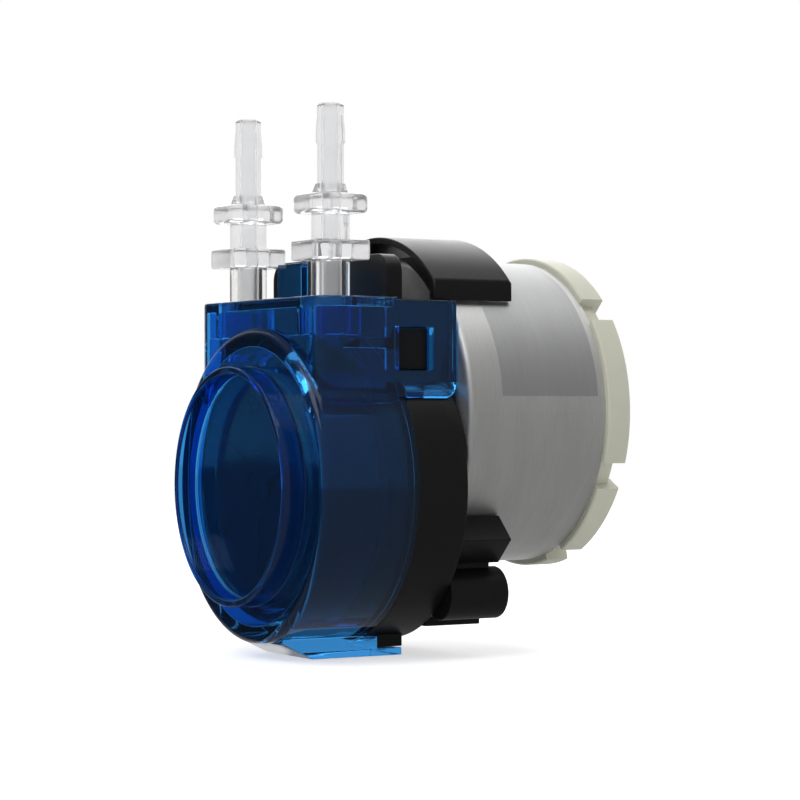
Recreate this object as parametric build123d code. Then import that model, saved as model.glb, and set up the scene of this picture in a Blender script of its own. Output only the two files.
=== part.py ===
from build123d import *
import math
import os

# Peristaltic pump: clear clip-on head, gear case, and a brushed DC motor.
# The pump axis is the Y axis. Y = 0 is the flat face of the drum, +Y runs back to the motor, +Z is up.
# All lengths are millimetres and all angles are degrees.

# Clear head cover
drum_radius = 33.0
drum_edge = 1.8
drum_wall = 3.6
drum_fit = 0.2
front_wall = 1.7
collar_radius = 25.1
collar_wall = 1.5
collar_length = 5.0
collar_edge = 0.5
block_inset = 5.0
block_rise = 6.2
block_front = 1.8
block_short = 2.2
block_corner = 5.4
block_wall = 2.0
block_edge = 0.6
block_foot = 11.0
rib_height = 2.1
rib_drop = 8.4
rib_reach = 2.5
rib_front = 8.0
latch_wall = 3.0
latch_slack = 0.2
latch_lap = 0.45
latch_height = 20.8
latch_corner = 3.0
latch_edge = 0.5
window_lead = 0.3
window_length = 8.2
window_drop = 15.1
window_height = 9.0
tab_half_width = 5.2
tab_front = 9.8
tab_thickness = 1.8
tab_height = 7.7
foot_half_width = 10.0
foot_drop = 2.9
foot_start = 3.0
foot_full = 10.0
foot_shoulder = 0.4
foot_root = 1.5
hook_play = 0.3

# Tube and its connectors
tube_outer = 4.0
tube_bore = 2.4
tube_inset = 14.8
tube_stand = 7.5
tube_play = 0.1
flat_wide = 5.7
flat_thick = 1.5
lumen_wide = 4.2
lumen_thick = 0.35
tube_track_gap = 0.3
tube_leave_angle = 40.0
tube_lead = 4.5
sleeve_radius = 6.0
sleeve_length = 10.2
sleeve_lead = 2.0
pocket_inner_play = 0.9
pocket_outer_play = 0.2
pocket_side_play = 0.45
pocket_drop = 1.2
pocket_rise = 0.4
flange_side = 12.5
lower_flange_corner = 1.2
upper_flange_corner = 2.6
lower_flange_edge = 0.5
upper_flange_edge = 1.0
lower_flange = 4.1
upper_flange = 3.9
neck_radius = 3.95
neck_length = 5.6
cone_length = 2.1
cone_tip_radius = 3.15
stub_radius = 2.75
stub_length = 16.5
stub_edge = 0.3
land_step = 0.28
land_from_tip = 8.0
land_length = 2.4
land_lead = 3.2
connector_bore = 1.5
spigot_length = 10.0
spigot_play = 0.1

# Pump rotor
roller_count = 3
roller_radius = 5.5
roller_gap = 0.3
roller_length = 11.2
roller_edge = 0.6
pin_radius = 1.5
pin_cover = 0.6
plate_inset = 1.1
rotor_front_gap = 0.3
rotor_rear_gap = 3.9
front_plate = 1.0
ridge_height = 0.7
ridge_width = 5.0
ridge_past = 3.2
pin_boss = 3.4
rear_plate = 2.8
hub_radius = 7.0
hub_gap = 0.4
post_radius = 2.6
post_inset = 2.8
rotor_screw_radius = 1.25
rotor_screw_head = 2.3
rotor_screw_stand = 0.1
rotor_screw_short = 2.0
rotor_phase = 30.0

# Gear case
case_length = 11.55
case_front_wall = 2.5
case_rim_wall = 2.0
chamber_wall = 2.8
shelf_to_plate = 2.55
case_lead = 0.5
wall_inset = 0.1
wall_drop = 4.9
wall_corner = 4.0
wall_thickness = 3.7
wall_overhang = 1.3
wall_play = 0.15
catch_reach = 1.1
catch_slack = 0.3
catch_lip = 0.4
catch_ramp = 2.2
catch_root = 0.5
upper_wall = 2.0
upper_side_wall = 3.2
crown_setback = 0.8
hook_half_width = 9.6
hook_front_lead = 3.7
hook_length = 6.0
hook_drop = 1.1
hook_root = 2.0
boss_radius = 8.2
boss_lead = 1.2
boss_rear = 0.6

# Gears
shaft_offset = 15.6
gear_teeth = 38
pinion_teeth = 14
pressure_angle = 20.0
tooth_height = 0.85
tooth_root = 1.2
backlash = 0.09
gear_gap = 1.5
gear_rear_gap = 1.0
gear_rim = 2.2
gear_hub = 6.2
gear_recess = 1.0
pinion_wider = 0.8

# Shafts and bearings
shaft_radius = 3.0
shaft_flat = 2.4
shaft_edge = 0.3
shaft_short = 0.4
bearing_outer = 6.0
bearing_width = 4.0
bearing_ring = 0.9
bearing_lip = 0.2
ball_count = 9
ball_gap = 0.02
running_gap = 0.03
bush_wall = 2.0
clip_radius = 4.8
clip_thickness = 0.6
clip_groove = 0.4
clip_gap = 0.1
clip_mouth = 1.8

# Bracket plate behind the gear case
plate_thickness = 3.2
plate_clearance = 0.1
bracket_lead = 0.1
screw_boss_inset = 2.223
screw_boss_angle = -46.975
screw_boss_radius = 5.5
screw_boss_length = 13.6
mount_hole = 1.25
mount_hole_depth = 10.0
side_tip_inset = 1.05
side_tip_angle = -20.14
side_half_height = 5.0
side_root = 9.5
side_root_drop = 1.25
side_short = 1.6
side_rib_inner = 1.2
side_rib_outer = 1.8
side_rib_drop = 4.0
shelf_inset = 5.5
shelf_thickness = 2.1
shelf_half_width = 16.0
shelf_short = 0.6
can_fit = 0.25
case_screw_radius = 1.45
case_screw_head = 2.7
case_screw_inset = 3.9
case_screw_angles = (14, 166, 232, 308)
case_screw_seat = 1.3
case_boss = 4.2
head_play = 0.2
pinion_play = 1.6

# Motor
can_step = 0.1
can_length = 33.95
can_wall = 1.6
can_edge = 1.2
motor_shaft_radius = 1.5875
motor_shaft_play = 0.4
motor_bush_outer = 4.0
motor_bush_length = 5.0
bush_cup_wall = 1.2
bush_seat = 1.0
washer_thickness = 0.5
washer_gap = 0.05
washer_inset = 0.8
magnet_thickness = 7.3
magnet_length = 24.0
magnet_angle = 132.0
air_gap = 0.6
pole_count = 7
core_length = 14.0
core_gap = 1.2
pole_width = 5.0
shoe_depth = 2.4
shoe_gap = 3.0
core_hub = 8.0
coil_build = 1.7
coil_corner = 1.5
coil_inner = 10.8
coil_overhang = 2.4
coil_gap = 0.5
commutator_radius = 5.0
commutator_length = 5.0
commutator_flange = 0.8
segment_gap = 0.3
segment_depth = 1.2
brush_width = 3.0
brush_height = 4.0
brush_reach = 8.0
brush_guide_lead = 2.0
brush_guide_short = 1.0
brush_guide_wall = 1.1
spring_strip = 0.4
spring_half_width = 1.4
spring_foot = 4.0
cap_base_inset = 1.1
cap_base = 4.2
cap_base_edge = 0.6
cap_lug_step = 1.2
cap_lug = 5.65
cap_lug_root = 3.2
cap_lug_edge = 0.3
cap_spigot = 1.9
cap_spigot_wall = 2.0
cap_spigot_play = 0.02
cap_floor = 1.6
notch_angle = 10.0
notch_angles = (40.4, -23.7, -67.0, 139.6, 203.7, 247.0)
cap_boss_radius = 8.0
cap_boss_height = 1.0
terminal_width = 4.8
terminal_thick = 0.8
terminal_length = 5.0
terminal_spread = 14.0
terminal_drop = 14.0
terminal_root = 0.6
terminal_hole = 0.7
motor_screw_orbit = 10.5
motor_screw_radius = 1.45
motor_screw_head = 2.7
motor_screw_head_height = 1.6
motor_screw_past = 0.8
label_angle = 44.0
label_span_angle = 76.0
label_front = 8.0
label_rear_gap = 1.95
label_film = 0.06

# Hood over the top of the motor
hood_stand = 4.7
hood_crown = 10.4
hood_inset = 0.1
hood_can_gap = 0.1
hood_wall = 1.4
hood_lead = 3.9
hood_length = 19.5
hood_gap = 0.25
hood_edge = 0.5

# Screw heads
head_edge = 0.35
recess_half_width = 0.35
recess_reach = 0.6
recess_depth = 0.63

# How far a cutting or joining shape runs past the face that it meets
past = 1.0
sunk = 0.5

# Values that follow from the ones above
block_half_width = drum_radius - block_inset
block_top = drum_radius + block_rise
race_radius = drum_radius - drum_wall
front_inside = front_wall
ridge_front = front_inside + rotor_front_gap
front_plate_front = ridge_front + ridge_height
front_plate_rear = front_plate_front + front_plate
rollers_front = front_plate_rear + roller_gap
rollers_rear = rollers_front + roller_length
tube_plane = (rollers_front + rollers_rear) / 2
rear_plate_front = rollers_rear + roller_gap
rear_plate_rear = rear_plate_front + rear_plate
drum_length = rear_plate_rear + rotor_rear_gap
block_depth = drum_length - block_short
track_radius = race_radius - tube_track_gap - 2 * flat_thick
roller_orbit = track_radius - roller_gap - roller_radius
tube_centre = race_radius - tube_track_gap - flat_thick
plate_radius = track_radius - plate_inset
post_orbit = roller_orbit - post_inset
sleeve_foot = block_top - sleeve_length
tube_straight_from = sleeve_foot + sleeve_lead
connector_seat = block_top + tube_stand
tube_spacing = 2 * (drum_radius - tube_inset)
land_radius = stub_radius + land_step

window_front = block_depth + window_lead
window_rear = window_front + window_length
window_bottom = block_top - window_drop
window_top = window_bottom + window_height
case_rear = drum_length + case_length
latch_rear = case_rear + latch_lap
latch_bottom = block_top - latch_height
foot_bottom = drum_radius + foot_drop
hook_front = drum_length + hook_front_lead
hook_rear = hook_front + hook_length
hook_bottom = drum_radius + hook_drop

case_inside = drum_length + case_front_wall
chamber_radius = drum_radius - chamber_wall
case_screw_orbit = chamber_radius - case_screw_inset
case_side = block_half_width - latch_wall - latch_slack
nest_front = case_rear - shelf_to_plate
plate_rear = nest_front + plate_thickness
boss_front = drum_length - boss_lead
hub_rear = boss_front - hub_gap
bearing_front = case_inside - bearing_width + boss_rear
bearing_rear = bearing_front + bearing_width
roller_angles = [rotor_phase + i * 360 / roller_count for i in range(roller_count)]
post_angles = [a + 180 / roller_count for a in roller_angles]

motor_axis = shaft_offset
gear_module = 2 * shaft_offset / (gear_teeth + pinion_teeth)
gear_front = case_inside + gear_gap
gear_width = nest_front - gear_rear_gap - gear_front
pinion_width = gear_width + pinion_wider
pinion_front = gear_front - pinion_wider / 2

can_radius = drum_radius - can_step
can_front = plate_rear
can_rear = can_front + can_length
label_width = can_length - label_front - label_rear_gap
screw_boss_rear = can_front + screw_boss_length
screw_boss_x = round((drum_radius - screw_boss_inset) * math.cos(math.radians(screw_boss_angle)), 2)
screw_boss_z = round((drum_radius - screw_boss_inset) * math.sin(math.radians(screw_boss_angle)), 2)
side_tip = (drum_radius - side_tip_inset) * math.cos(math.radians(side_tip_angle))
side_tip_z = (drum_radius - side_tip_inset) * math.sin(math.radians(side_tip_angle))
side_rear = screw_boss_rear - side_short
bracket_rear = screw_boss_rear - shelf_short
shelf_top = shelf_inset - drum_radius

magnet_inner = can_radius - can_wall - magnet_thickness
core_radius = magnet_inner - air_gap
core_front = can_front + motor_bush_length + coil_overhang + core_gap
core_rear = core_front + core_length
commutator_front = core_rear + coil_overhang + coil_gap
cap_inside = can_rear + cap_base - cap_floor
cap_base_radius = can_radius - cap_base_inset
cap_lug_radius = can_radius + cap_lug_step
rear_bush_front = commutator_front + commutator_length + washer_thickness + 2 * washer_gap
brush_middle = commutator_front + (commutator_flange + commutator_length) / 2

hood_top = motor_axis + can_radius + hood_stand
hood_half_width = case_side - hood_inset
hood_bottom = motor_axis + math.sqrt(can_radius ** 2 - (hood_half_width - hood_wall) ** 2) + hood_can_gap
hood_front = can_front - hood_lead
hood_radius = (hood_half_width ** 2 + hood_crown ** 2) / (2 * hood_crown)
hood_centre = hood_top - hood_radius
wall_top = hood_top - wall_drop
wall_half_width = case_side - wall_inset


def disc(radius, y0, y1, x=0.0, z=0.0):
    """A cylinder along Y from y0 to y1."""
    base = Plane(origin=(x, y0, z), x_dir=(1, 0, 0), z_dir=(0, 1, 0))
    return base * Cylinder(radius, y1 - y0, align=(Align.CENTER, Align.CENTER, Align.MIN))


def ring(outer, inner, y0, y1, x=0.0, z=0.0):
    return disc(outer, y0, y1, x, z) - disc(inner, y0 - past, y1 + past, x, z)


def slab(x0, x1, y0, y1, z0, z1):
    return Pos(x0, y0, z0) * Box(x1 - x0, y1 - y0, z1 - z0, align=(Align.MIN, Align.MIN, Align.MIN))


def post(radius, z0, z1, x, y):
    """A cylinder along Z."""
    return Pos(x, y, z0) * Cylinder(radius, z1 - z0, align=(Align.CENTER, Align.CENTER, Align.MIN))


def along_y(sketch, y0, y1):
    """Extrudes a sketch drawn in X and Z from y0 back to y1."""
    return extrude(Plane.XZ.offset(-y0) * sketch, amount=-(y1 - y0))


def upright(sketch, z0, z1):
    return extrude(Plane.XY.offset(z0) * sketch, amount=z1 - z0)


def across_x(points, half_width):
    """Extrudes a polygon drawn in Y and Z to both sides of X = 0."""
    return extrude(Plane.YZ * make_face(Polyline(*points, close=True)), amount=half_width, both=True)


def polar(radius, angle):
    return radius * math.cos(math.radians(angle)), radius * math.sin(math.radians(angle))


def wedge(radius, angle, span, y0, y1, x=0.0, z=0.0):
    """A sector of a disc, for cutting arcs; the angle is from +X towards +Z."""
    half = math.radians(span / 2)
    far = radius / math.cos(half) if span < 170 else radius * 3
    a, b = polar(far, angle - span / 2), polar(far, angle + span / 2)
    mid = polar(radius * 1.5, angle)
    sketch = make_face(Polyline((x, z), (x + a[0], z + a[1]), (x + mid[0], z + mid[1]),
                                (x + b[0], z + b[1]), close=True))
    return along_y(sketch, y0, y1)


def mirrored(shape):
    return mirror(shape, about=Plane.YZ)


# ---------------- tube ----------------

def tube_section(t, wide, thick, grown):
    """One section of the tube where it leaves the race; t runs from the race to the straight end."""
    start = polar(tube_centre, tube_leave_angle)
    heading = math.radians(tube_leave_angle + 90)
    end = (tube_spacing / 2, tube_straight_from)
    p1 = (start[0] + tube_lead * math.cos(heading), start[1] + tube_lead * math.sin(heading))
    p2 = (end[0], end[1] - tube_lead)
    s = 1 - t
    place = [s ** 3 * a + 3 * s * s * t * b + 3 * s * t * t * c + t ** 3 * d
             for a, b, c, d in zip(start, p1, p2, end)]
    slope = [3 * s * s * (b - a) + 6 * s * t * (c - b) + 3 * t * t * (d - c)
             for a, b, c, d in zip(start, p1, p2, end)]
    ease = t * t * (3 - 2 * t)
    section = Plane(origin=(place[0], tube_plane, place[1]), x_dir=(0, 1, 0), z_dir=(slope[0], 0, slope[1]))
    return section * Ellipse(wide + (grown - wide) * ease, thick + (grown - thick) * ease)


def tube_run(wide, thick, grown, top):
    """The whole tube as a solid rod: round the race, out of it, and straight up on both sides."""
    start = polar(tube_centre, tube_leave_angle)
    heading = math.radians(tube_leave_angle + 90)
    flat = Plane(origin=(start[0], tube_plane, start[1]), x_dir=(0, 1, 0),
                 z_dir=(math.cos(heading), 0, math.sin(heading))) * Ellipse(wide, thick)
    rod = revolve(flat, Axis((0, 0, 0), (0, 1, 0)), revolution_arc=180 + 2 * tube_leave_angle)
    lead = loft([tube_section(i / 6, wide, thick, grown) for i in range(7)])
    rise = post(grown, tube_straight_from, top, tube_spacing / 2, tube_plane)
    return rod + lead + rise + mirrored(lead) + mirrored(rise)


def pump_tube():
    whole = tube_run(flat_wide, flat_thick, tube_outer, connector_seat)
    lumen = tube_run(lumen_wide, lumen_thick, tube_bore, connector_seat + past)
    return whole - lumen


def flange(corner, edge, z0, z1, x):
    plate = upright(Pos(x, tube_plane) * RectangleRounded(flange_side, flange_side, corner), z0, z1)
    faces = plate.faces().sort_by(Axis.Z)
    return fillet(faces[0].edges() + faces[-1].edges(), edge)


def connector(x):
    """A clear fitting: spigot in the tube, two flanges on a neck, and a stub with a slight swell."""
    seat = connector_seat
    neck_foot = seat + lower_flange
    neck_top = neck_foot + neck_length
    cone_foot = neck_top + upper_flange
    stub_foot = cone_foot + cone_length
    tip = stub_foot + stub_length
    land_foot = tip - land_from_tip
    body = post(tube_bore - spigot_play, seat - spigot_length, seat, x, tube_plane)
    body += flange(lower_flange_corner, lower_flange_edge, seat, neck_foot, x)
    body += post(neck_radius, neck_foot, neck_top, x, tube_plane)
    body += flange(upper_flange_corner, upper_flange_edge, neck_top, cone_foot, x)
    body += Pos(x, tube_plane, cone_foot) * Cone(neck_radius, cone_tip_radius, cone_length,
                                                 align=(Align.CENTER, Align.CENTER, Align.MIN))
    stub = post(stub_radius, stub_foot, tip, x, tube_plane)
    body += chamfer(stub.faces().sort_by(Axis.Z)[-1].edges(), stub_edge)
    body += post(land_radius, land_foot, land_foot + land_length, x, tube_plane)
    body += Pos(x, tube_plane, land_foot + land_length) * Cone(land_radius, stub_radius, land_lead,
                                                              align=(Align.CENTER, Align.CENTER, Align.MIN))
    return body - post(connector_bore, seat - spigot_length - past, tip + past, x, tube_plane)


# ---------------- clear head cover ----------------

def front_rounded(half_width, front, corner):
    """The plan of the tubing block: a rectangle with its two front corners rounded."""
    plan = Pos(0, front) * Rectangle(2 * half_width, block_depth - front, align=(Align.CENTER, Align.MIN))
    return fillet(plan.vertices().group_by(Axis.Y)[0], corner)


def tubing_block():
    """The hollow block over the drum; its floor is the drum itself."""
    block = upright(front_rounded(block_half_width, block_front, block_corner), block_foot, block_top)
    rim = block.faces().sort_by(Axis.Z)[-1].edges().filter_by(lambda e: e.center().Y < block_depth - 0.01)
    block = fillet(rim, block_edge)
    inside = front_rounded(block_half_width - block_wall, block_front + block_wall, block_corner - block_wall)
    cavity = upright(inside, block_foot, block_top - block_wall)
    return block - (cavity - disc(drum_radius, -past, drum_length))


def side_ribs():
    """A level rib on the inside of each side wall of the block."""
    outer = block_half_width - block_wall
    top = block_top - rib_drop
    rib = slab(outer - rib_reach, outer + sunk, rib_front, block_depth, top - rib_height, top)
    return rib + mirrored(rib)


def tube_passage(side):
    """The way of the tube from the race up through one sleeve."""
    race_end = polar(tube_centre, tube_leave_angle)
    x = side * tube_spacing / 2
    a, b = sorted((side * (tube_spacing / 2 - tube_outer - pocket_inner_play),
                   side * (race_end[0] + flat_thick + pocket_outer_play)))
    reach = flat_wide + pocket_side_play
    pocket = slab(a, b, tube_plane - reach, tube_plane + reach,
                  race_end[1] - pocket_drop, tube_straight_from + pocket_rise)
    return pocket + post(tube_outer + tube_play, tube_straight_from - pocket_rise, block_top + past,
                         x, tube_plane)


def head_cover():
    drum = disc(drum_radius, 0, drum_length)
    drum = fillet(drum.edges().filter_by(GeomType.CIRCLE).sort_by(Axis.Y)[0], drum_edge)
    collar = ring(collar_radius, collar_radius - collar_wall, -collar_length, sunk)
    collar = fillet(collar.edges().filter_by(GeomType.CIRCLE).group_by(Axis.Y)[0], collar_edge)
    cover = drum + tubing_block() + collar
    for side in (-1, 1):
        cover += post(sleeve_radius, sleeve_foot, block_top - block_wall, side * tube_spacing / 2, tube_plane)
    cover += side_ribs()
    cover += latches()
    cover += slab(-tab_half_width, tab_half_width, tab_front, tab_front + tab_thickness,
                  block_top - block_wall, block_top + tab_height)
    cover -= disc(race_radius, front_inside, drum_length + past)
    for side in (-1, 1):
        cover -= tube_passage(side)
    return cover + foot()


def latches():
    """The two side plates that clip over the catches of the gear case."""
    inside = block_half_width - latch_wall
    front, top = block_depth - block_wall, block_top - block_edge
    plan = make_face(Polyline((front, latch_bottom), (latch_rear, latch_bottom), (latch_rear, top),
                              (front, top), close=True))
    low_rear = plan.vertices().filter_by(lambda v: v.X > latch_rear - 0.1 and v.Y < latch_bottom + 0.1)
    plate = extrude(Plane.YZ.offset(inside) * fillet(low_rear, latch_corner), amount=latch_wall)
    plate = fillet(plate.edges().filter_by(Axis.Z).sort_by(Axis.Y)[-1:], latch_edge)
    plate -= slab(inside - past, block_half_width + past, window_front, window_rear,
                  window_bottom, window_top)
    plate -= disc(drum_radius + drum_fit, drum_length, latch_rear + past)
    return plate + mirrored(plate)


def foot():
    """The tongue under the drum that hooks behind the lug of the gear case."""
    tongue_top = hook_bottom + drum_fit
    base = drum_radius - foot_root
    step = hook_front - hook_play
    rear = hook_rear - hook_play
    profile = [(foot_start, -base), (foot_start, -drum_radius + foot_shoulder), (foot_full, -foot_bottom),
               (rear, -foot_bottom), (rear, -tongue_top), (step, -tongue_top), (step, -base)]
    tongue = across_x(profile, foot_half_width)
    tongue -= disc(drum_radius + drum_fit, drum_length, rear + past)
    return tongue - disc(drum_radius - foot_root / 2, -past, drum_length)


# ---------------- pump rotor ----------------

def rotor_front():
    plate = disc(plate_radius, front_plate_front, front_plate_rear)
    plate += disc(hub_radius, ridge_front, front_plate_front)
    for angle in roller_angles:
        plate += Rot(0, -angle, 0) * slab(0, roller_orbit + ridge_past, ridge_front, front_plate_front,
                                          -ridge_width / 2, ridge_width / 2)
        plate += disc(pin_boss, ridge_front, front_plate_front, *polar(roller_orbit, angle))
    for angle in roller_angles:
        plate -= disc(pin_radius, ridge_front - past, front_plate_rear + past, *polar(roller_orbit, angle))
    for angle in post_angles:
        plate -= disc(rotor_screw_radius, ridge_front - past, front_plate_rear + past,
                      *polar(post_orbit, angle))
    return plate - disc(shaft_radius, ridge_front - past, front_plate_rear + past)


def rotor_hub():
    hub = disc(plate_radius, rear_plate_front, rear_plate_rear)
    hub += disc(hub_radius, front_plate_rear, hub_rear)
    for angle in post_angles:
        hub += disc(post_radius, front_plate_rear, rear_plate_front + sunk, *polar(post_orbit, angle))
    for angle in post_angles:
        hub -= disc(rotor_screw_radius, front_plate_rear - past, rear_plate_front, *polar(post_orbit, angle))
    for angle in roller_angles:
        hub -= disc(pin_radius, rear_plate_front - past, rear_plate_rear - pin_cover,
                    *polar(roller_orbit, angle))
    bore = disc(shaft_radius, front_plate_rear - past, hub_rear + past)
    return hub - (bore - shaft_flat_cut(front_plate_rear - 2 * past, hub_rear + 2 * past))


def shaft_flat_cut(y0, y1):
    """The piece that the flat takes off the output shaft, and that fills the hub's bore."""
    return slab(shaft_flat, shaft_radius + past, y0, y1, -shaft_radius, shaft_radius)


def roller(angle):
    x, z = polar(roller_orbit, angle)
    body = disc(roller_radius, rollers_front, rollers_rear, x, z)
    body = fillet(body.edges().filter_by(GeomType.CIRCLE), roller_edge)
    return body - disc(pin_radius + running_gap, rollers_front - past, rollers_rear + past, x, z)


def roller_pins():
    return Compound(children=[disc(pin_radius, ridge_front, rear_plate_rear - pin_cover,
                                   *polar(roller_orbit, a)) for a in roller_angles])


def screw(radius, head_radius, y_head, y_seat, y_end, x, z):
    """A pan-head screw along Y with a cross recess; its head lies between y_head and y_seat."""
    faces_front = y_head < y_seat
    head = disc(head_radius, min(y_head, y_seat), max(y_head, y_seat), x, z)
    rims = head.edges().filter_by(GeomType.CIRCLE).sort_by(Axis.Y)
    body = fillet(rims[0 if faces_front else -1], head_edge)
    body += disc(radius, min(y_seat, y_end), max(y_seat, y_end), x, z)
    floor = y_head + (y_seat - y_head) * recess_depth
    mouth = y_head - past if faces_front else y_head + past
    long_half = head_radius * recess_reach
    for wide, tall in ((long_half, recess_half_width), (recess_half_width, long_half)):
        body -= slab(x - wide, x + wide, min(floor, mouth), max(floor, mouth), z - tall, z + tall)
    return body


def rotor_screws():
    return Compound(children=[screw(rotor_screw_radius, rotor_screw_head, ridge_front - rotor_screw_stand,
                                    front_plate_front, rear_plate_front - rotor_screw_short,
                                    *polar(post_orbit, a)) for a in post_angles])


# ---------------- output shaft, bearings, gears ----------------

def output_shaft():
    clip_front = bearing_rear + clip_gap
    rod = disc(shaft_radius, ridge_front, plate_rear - shaft_short)
    rod -= shaft_flat_cut(front_plate_rear, hub_rear)
    rod -= ring(shaft_radius + past, shaft_radius - clip_groove, clip_front, clip_front + clip_thickness)
    rod = chamfer(rod.edges().filter_by(GeomType.CIRCLE).sort_by(Axis.Y)[-1], shaft_edge)
    return chamfer(rod.edges().filter_by(GeomType.CIRCLE).sort_by(Axis.Y)[0], shaft_edge)


def retaining_ring():
    front = bearing_rear + clip_gap
    rear = front + clip_thickness
    clip = ring(clip_radius, shaft_radius - clip_groove, front, rear)
    return clip - slab(0, clip_radius + past, front - past, rear + past, -clip_mouth, clip_mouth)


def involute_gear(teeth, phase, y0, y1, x, z):
    """A spur gear with one tooth centred on the phase angle."""
    pitch = gear_module * teeth / 2
    base = pitch * math.cos(math.radians(pressure_angle))
    tip = pitch + gear_module * tooth_height
    root = pitch - gear_module * tooth_root
    start = max(base, root)
    pitch_roll = math.tan(math.radians(pressure_angle))
    half_tooth = (math.pi * pitch / teeth - backlash) / 2 / pitch
    lean = pitch_roll - math.atan(pitch_roll)

    def flank(radius):
        roll = math.sqrt(max((radius / base) ** 2 - 1, 0))
        return half_tooth + lean - (roll - math.atan(roll))

    steps = [start + (tip - start) * i / 4 for i in range(5)]
    outline = []
    for tooth in range(teeth):
        middle = math.radians(phase) + tooth * 2 * math.pi / teeth
        rise = [(r, middle - flank(r)) for r in steps]
        fall = [(r, middle + flank(r)) for r in reversed(steps)]
        foot_angle = min(flank(start) + 0.02, math.pi / teeth * 0.9)
        ends = [(root, middle - foot_angle)] + rise + fall + [(root, middle + foot_angle)]
        outline += [(x + r * math.cos(a), z + r * math.sin(a)) for r, a in ends]
    return along_y(make_face(Polyline(*outline, close=True)), y0, y1)


def output_gear():
    rear = gear_front + gear_width
    gear = involute_gear(gear_teeth, 90, gear_front, rear, 0, 0)
    rim = gear_module * gear_teeth / 2 - gear_rim
    gear -= ring(rim, gear_hub, gear_front, gear_front + gear_recess)
    gear -= ring(rim, gear_hub, rear - gear_recess, rear)
    return gear - disc(shaft_radius, gear_front - past, rear + past)


def pinion():
    rear = pinion_front + pinion_width
    gear = involute_gear(pinion_teeth, 270 + 180 / pinion_teeth, pinion_front, rear, 0, motor_axis)
    return gear - disc(motor_shaft_radius, pinion_front - past, rear + past, 0, motor_axis)


def bearing_race(inner):
    return ring(inner + bearing_ring, inner, bearing_front, bearing_rear)


def bearing_balls():
    middle = (shaft_radius + bearing_outer) / 2
    gap = bearing_outer - shaft_radius - 2 * bearing_ring
    y = (bearing_front + bearing_rear) / 2
    balls = []
    for i in range(ball_count):
        x, z = polar(middle, i * 360 / ball_count)
        balls.append(Pos(x, y, z) * Sphere(gap / 2 - ball_gap))
    return Compound(children=balls)


# ---------------- gear case and bracket plate ----------------

def hood_space(inset, y0, y1):
    """A disc as round as the hood's crown, for what nests inside the hood."""
    return disc(hood_radius - hood_wall - hood_gap - inset, y0, y1, 0, hood_centre)


def gear_case():
    body = disc(drum_radius, drum_length, case_rear) + case_shoulders()
    body += slab(-hook_half_width, hook_half_width, hook_front, hook_rear,
                 -hook_bottom, hook_root - drum_radius)
    body -= disc(chamber_radius, case_inside, nest_front)
    body -= disc(drum_radius - case_rim_wall, nest_front, case_rear + past)
    body += disc(boss_radius, boss_front, bearing_rear)
    for angle in case_screw_angles:
        body += disc(case_boss, case_inside - sunk, nest_front, *polar(case_screw_orbit, angle))
    for angle in case_screw_angles:
        body -= disc(case_screw_radius, case_inside + sunk, nest_front + past,
                     *polar(case_screw_orbit, angle))
    body -= disc(bearing_outer, bearing_front, bearing_rear + past)
    body -= disc(bearing_outer - bearing_ring - bearing_lip, boss_front - past, bearing_front + past)
    return body + catches()


def case_shoulders():
    """The squared top of the case between the latches, with the wall that closes the hood's front."""
    front = block_depth + case_lead
    low = drum_radius / 3
    upper = slab(-case_side, case_side, front, case_rear, low, hood_bottom)
    half = hood_half_width - hood_wall - hood_gap
    crown = hood_space(0, hood_front + crown_setback, case_rear)
    crown &= slab(-half, half, 0, case_rear, low, wall_top)
    wall_rear = front - wall_overhang + wall_thickness
    plan = Pos(0, wall_top) * Rectangle(2 * wall_half_width, wall_top - block_top - wall_play,
                                        align=(Align.CENTER, Align.MAX))
    plan = fillet(plan.vertices().group_by(Axis.Y)[-1], wall_corner)
    wall = along_y(plan, front - wall_overhang, wall_rear)
    wall += slab(-wall_half_width, wall_half_width, front, wall_rear, low, block_top + sunk)
    hollow_side = case_side - upper_side_wall
    hollow = slab(-hollow_side, hollow_side, wall_rear, case_rear + past, low, wall_top)
    hollow &= hood_space(upper_wall, 0, case_rear + past)
    return (upper + crown + wall) - disc(drum_radius + drum_fit, 0, drum_length) \
        - (hollow - disc(drum_radius, 0, case_rear + 2 * past))


def catches():
    """Wedge-shaped catches that stand in the latch windows."""
    front, rear = window_front + catch_slack, window_rear - catch_slack
    root, tip = case_side - catch_root, case_side + catch_reach
    plan = make_face(Polyline((root, front + catch_lip), (case_side, front + catch_lip),
                              (tip, front + catch_ramp), (tip, rear), (root, rear), close=True))
    catch = upright(plan, window_bottom + catch_slack, window_top - catch_slack)
    return catch + mirrored(catch)


def screw_pads(radius, y0, y1):
    pads = [disc(radius, y0, y1, *polar(case_screw_orbit, angle)) for angle in case_screw_angles]
    whole = pads[0]
    for pad in pads[1:]:
        whole += pad
    return whole


def bracket_side():
    """The right-hand screw boss, the pointed arm above it and the rib between them."""
    front = case_rear + bracket_lead
    inner = side_tip - side_half_height
    root = side_tip - side_root
    arm = make_face(Polyline((inner, side_tip_z + side_half_height), (side_tip, side_tip_z),
                             (inner, side_tip_z - side_half_height), (root, side_tip_z - side_half_height),
                             (root, side_tip_z - side_root_drop), close=True))
    side = disc(screw_boss_radius, front, screw_boss_rear, screw_boss_x, screw_boss_z)
    side += along_y(arm, front, side_rear)
    return side + slab(screw_boss_x - side_rib_inner, screw_boss_x + side_rib_outer, front, side_rear - past,
                       screw_boss_z + past, side_tip_z - side_rib_drop)


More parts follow.
